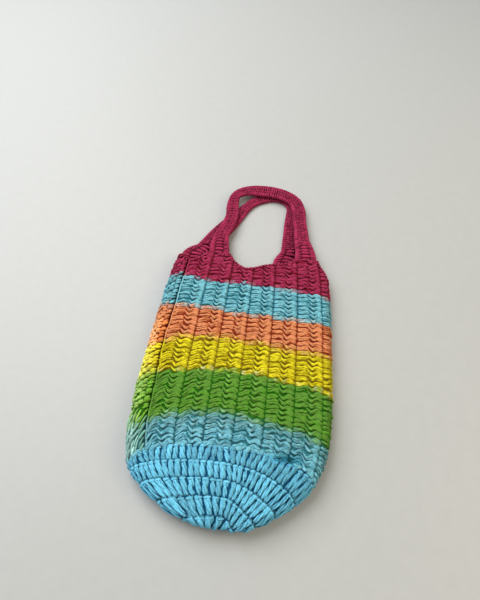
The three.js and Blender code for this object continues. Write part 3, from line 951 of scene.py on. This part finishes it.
def curve_points(points, at):
    """A smooth curve through points, read at places counted in points"""
    knots = np.array([2 * points[0] - points[1], *points, 2 * points[-1] - points[-2]])
    i = np.clip(np.floor(at).astype(int), 0, len(points) - 2)
    t = (at - i)[:, None]
    p0, p1, p2, p3 = (knots[i + k] for k in range(4))
    d0, d1, d2 = (np.sqrt(np.linalg.norm(b - a, axis=1))[:, None] for a, b in ((p0, p1), (p1, p2), (p2, p3)))
    leave = ((p1 - p0) / d0 - (p2 - p0) / (d0 + d1) + (p2 - p1) / d1) * d1
    arrive = ((p2 - p1) / d1 - (p3 - p1) / (d1 + d2) + (p3 - p2) / d2) * d1
    square = 3 * (p2 - p1) - 2 * leave - arrive
    cube = 2 * (p1 - p2) + leave + arrive
    return p1 + leave * t + square * t ** 2 + cube * t ** 3


class Strap:
    """The route of one handle, read by the distance along it"""

    def __init__(self, handle):
        rows = self.shoulder(handle["from"]) + handle["route"] + self.shoulder(handle["to"])[::-1]
        rows = np.array(rows, float)
        last = len(rows) - 1
        at = np.linspace(0, last, STRAP_STEPS * last + 1)
        self.line = curve_points(rows[:, :3], at)
        self.width = np.interp(at, np.arange(len(rows)), rows[:, 3])
        self.distance = distances(self.line)
        self.length = self.distance[-1]
        tangent = unit(np.gradient(self.line, axis=0))
        crosswise = unit(np.cross([0.0, 0.0, 1.0], tangent))
        along_rim = np.where(at < last / 2, -1.0, 1.0)[:, None] * np.array([1.0, 0.0, 0.0])
        turned = soft_step(0, TURN_ROWS, np.minimum(at, last - at))[:, None]
        self.side = unit(blend(along_rim, crosswise, turned))

    @staticmethod
    def shoulder(span):
        """The first two points of a handle, at one of its shoulders"""
        ways = (sum(span) / 2, *span)
        foot, first, last = (wall_point(SHOULDER_Y, way / GIRTH, CORE_SUNK) for way in ways)
        width = np.linalg.norm(first - last)
        return [(foot[0], SHOULDER_Y + up, foot[2], width) for up in (-SHOULDER_LAP, SHOULDER_LAP)]

    def half(self, distance):
        return np.interp(distance, self.distance, self.width) / 2

    def spread(self, span, across, pitch):
        """Distances along the strap that lie evenly, about a pitch apart, on a line across it"""
        fine = np.linspace(*span, FINE_STEPS)
        way = distances(self.point(fine, across, 0.0))
        count = max(int(way[-1] / pitch), 1)
        return np.interp((np.arange(count) + 0.5) * way[-1] / count, way, fine)

    def point(self, distance, across, up):
        """Points at a distance along, across the half width from -1 to 1, and up from the strap's middle"""
        distance, across, up = np.broadcast_arrays(distance, across, up)
        middle = np.stack([np.interp(distance, self.distance, c) for c in self.line.T], axis=-1)
        side = np.stack([np.interp(distance, self.distance, c) for c in self.side.T], axis=-1)
        lift = np.stack([0 * up, 0 * up, up], axis=-1)
        return middle + side * (across * self.half(distance))[..., None] + lift


def strap_row(yarn, strap, span, pitch, line, stitch, crevice):
    """Like stitches along a strap, between two distances and evenly on a line across it. The stitch gives its
    way along, across and up, its half width and its half depth, at places from -1 to 1 along itself"""
    centre = strap.spread(span, line, pitch)[:, None]
    count = len(centre)
    along, across, up, half_wide, half_deep = stitch(WAVE)
    distance = np.clip(centre + along + stray(count, 0.3), 0, strap.length)
    paths = strap.point(distance, across, up + stray(count, 0.2))
    ups = np.broadcast_to([0.0, 0.0, np.sign(np.mean(up))], paths.shape)
    size = vary((count, 1), 0.08)
    colour = linear(HANDLE_COLOUR) * vary((count, 1, 1), 0.12)
    yarn.add(paths, ups, half_wide * size, half_deep * size, colour, crevice)


def slanted_dash(line, face, slant):
    """A short stitch slanted across one lengthwise row"""
    def stitch(wave):
        bend = swell(wave, 0.95)
        up = face * (0.4 + 2.7 * bend - 1.6 * line ** 2)
        return 1.7 * wave, line + slant * wave, up, 0.7 + 1.7 * bend, 0.5 + 1.7 * bend
    return stitch


def level_bar(face):
    """A bar across the middle of the strap, like a rung of a ladder"""
    def stitch(wave):
        bend = swell(wave, 0.95) ** 0.6
        return 0 * wave, 0.4 * wave, face * (0.2 + 2.6 * bend), 0.8 + 3.3 * bend, 0.5 + 1.9 * bend
    return stitch


def strap_edge(yarn, strap, edge):
    """Loops that wrap over one edge of a strap"""
    centre = strap.spread((0.0, strap.length), edge, BEAD_PITCH)[:, None]
    count = len(centre)
    distance = np.clip(centre + 3.4 * LOOP_TURN / math.pi * edge, 0, strap.length)
    half = strap.half(centre)
    across = edge * (1 - (LOOP_SUNK - 3.4 * np.cos(LOOP_TURN)) / half)
    paths = strap.point(distance, across, 2.6 * np.sin(LOOP_TURN))
    inside = strap.point(distance, edge * (1 - LOOP_SUNK / half), 0.0)
    ups = unit(paths - inside)
    size = vary((count, 1), 0.06)
    colour = linear(HANDLE_COLOUR) * vary((count, 1, 1), 0.08)
    yarn.add(paths, ups, 0.6 + 2.6 * LOOP_TAPER * size, 0.5 + 1.6 * LOOP_TAPER * size, colour, BEAD_CREVICE)


def make_strap(name, handle, material):
    strap = Strap(handle)
    yarn = Yarn(6)
    for face in (1, -1):
        for number, line in enumerate(DASH_ROWS):
            skipped = 0.0 if abs(line) > 0.5 else LADDER
            span = (skipped, strap.length - skipped)
            slant = DASH_SLANT * (-1) ** number
            strap_row(yarn, strap, span, DASH_PITCH, line, slanted_dash(line, face, slant), DASH_CREVICE)
        for span in ((0.0, LADDER), (strap.length - LADDER, strap.length)):
            strap_row(yarn, strap, span, RUNG_PITCH, 0.0, level_bar(face), RUNG_CREVICE)
    for edge in (-1, 1):
        strap_edge(yarn, strap, edge)
    return yarn.make(name + "_stitches", material), strap


def make_strap_web(name, strap, material):
    distance = np.linspace(0, strap.length, STRAP_WEB_POINTS)[:, None]
    rings = strap.point(distance, *STRAP_WEB_PROFILE.T)
    # painted shade on the web behind the stitches
    colours = np.broadcast_to(deepen(linear(HANDLE_COLOUR), STRAP_WEB_SHADE), rings.shape)
    poles = rings[[0, -1]].mean(axis=1)
    return add_shell(name + "_web", rings, colours, material, poles)


# The rim's edging

def make_rim(material):
    """Loops that wrap over the rim between the shoulders"""
    yarn = Yarn(6)
    shoulders = [FRONT_HANDLE["to"], FRONT_HANDLE["from"], BACK_HANDLE["from"], BACK_HANDLE["to"]]
    for (_, first), (last, _) in zip(shoulders, shoulders[1:] + shoulders[:1]):
        fine = np.linspace(first, last if last > first else last + GIRTH, FINE_STEPS)
        distance = distances(wall_point(rim_y(fine / GIRTH), fine / GIRTH, CORE_SUNK))
        count = int(distance[-1] / LOOP_PITCH)
        centre = (np.arange(count)[:, None] + 0.5) * distance[-1] / count
        along = np.interp(centre + 3.2 * LOOP_TURN / math.pi, distance, fine) / GIRTH
        height = rim_y(along) - LOOP_SUNK + 3.8 * np.cos(LOOP_TURN)
        paths = wall_point(height, along, CORE_SUNK + 3.2 * np.sin(LOOP_TURN))
        inside = wall_point(rim_y(along) - LOOP_SUNK, along, CORE_SUNK)
        ups = unit(paths - inside)
        size = vary((count, 1), 0.06)
        colour = linear(HANDLE_COLOUR) * vary((count, 1, 1), 0.06)
        yarn.add(paths, ups, 0.6 + 2.6 * LOOP_TAPER * size, 0.5 + 1.4 * LOOP_TAPER * size, colour)
    return yarn.make("rim_edging", material)


# Stage

CAMERA_HEIGHT = 670.8
CAMERA_FOOT = (36.16, -43.93)
CAMERA_PITCH = math.radians(56.664)  # below the horizon
CAMERA_TURN = math.radians(6.6)
FOCAL_SHARE = 414.24 / 600  # focal length over the picture's long side
FLOOR_HALF = 6.0  # metres


def make_camera():
    data = bpy.data.cameras.new("camera")
    data.sensor_width = 36.0
    data.lens = data.sensor_width * FOCAL_SHARE
    data.clip_end = 50.0
    camera = add_object("camera", data)
    place = np.array([*CAMERA_FOOT, CAMERA_HEIGHT]) + BAG_PLACE
    camera.location = (place * METRE).tolist()
    camera.rotation_euler = (math.pi / 2 - CAMERA_PITCH, 0.0, CAMERA_TURN)
    bpy.context.scene.camera = camera


def make_floor():
    mesh = bpy.data.meshes.new("floor")
    ways = ((-1, -1), (1, -1), (1, 1), (-1, 1))
    mesh.from_pydata([(x * FLOOR_HALF, y * FLOOR_HALF, 0) for x, y in ways], [], [(0, 1, 2, 3)])
    mesh.materials.append(floor_material())
    floor = add_object("floor", mesh)


def area_light(name, place, size, power, colour):
    """A square light that shines on the bag, placed in metres"""
    data = bpy.data.lights.new(name, "AREA")
    data.size = size
    data.energy = power
    data.color = colour
    light = add_object(name, data)
    light.location = place
    x, y, z = place
    yaw = math.atan2(-y, -x) - math.pi / 2
    pitch = math.atan2(math.hypot(x, y), z)
    light.rotation_euler = (pitch, 0.0, yaw)


def make_light():
    world = bpy.data.worlds.new("studio")
    world.use_nodes = True
    fill(world.node_tree.nodes["Background"], {"Color": (0.93, 0.97, 1.0, 1), "Strength": 0.5})
    bpy.context.scene.world = world
    area_light("key", place=(-1.4, 1.1, 2.2), size=2.4, power=110.0, colour=(0.96, 0.98, 1.0))
    area_light("fill", place=(1.9, -0.4, 1.7), size=1.6, power=28.0, colour=(1.0, 0.82, 0.52))
    bpy.context.scene.view_settings.view_transform = "Standard"


def main():
    make_camera()
    make_floor()
    make_light()
    bands = yarn_material("yarn_bands")
    sky = yarn_material("yarn_sky")
    raspberry = yarn_material("yarn_raspberry")
    wall_web = make_wall_web(bands)
    wall = make_wall(bands)
    for piece in wall:
        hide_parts("wall")
    rim = make_rim(raspberry)
    base_web = make_base_web(sky)
    base = make_base(sky)
    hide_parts("base")
    for name, handle in (("handle_front", FRONT_HANDLE), ("handle_back", BACK_HANDLE)):
        stitches, strap = make_strap(name, handle, raspberry)
        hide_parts(name)
        web = make_strap_web(name, strap, raspberry)


main()
bpy.context.view_layer.update()
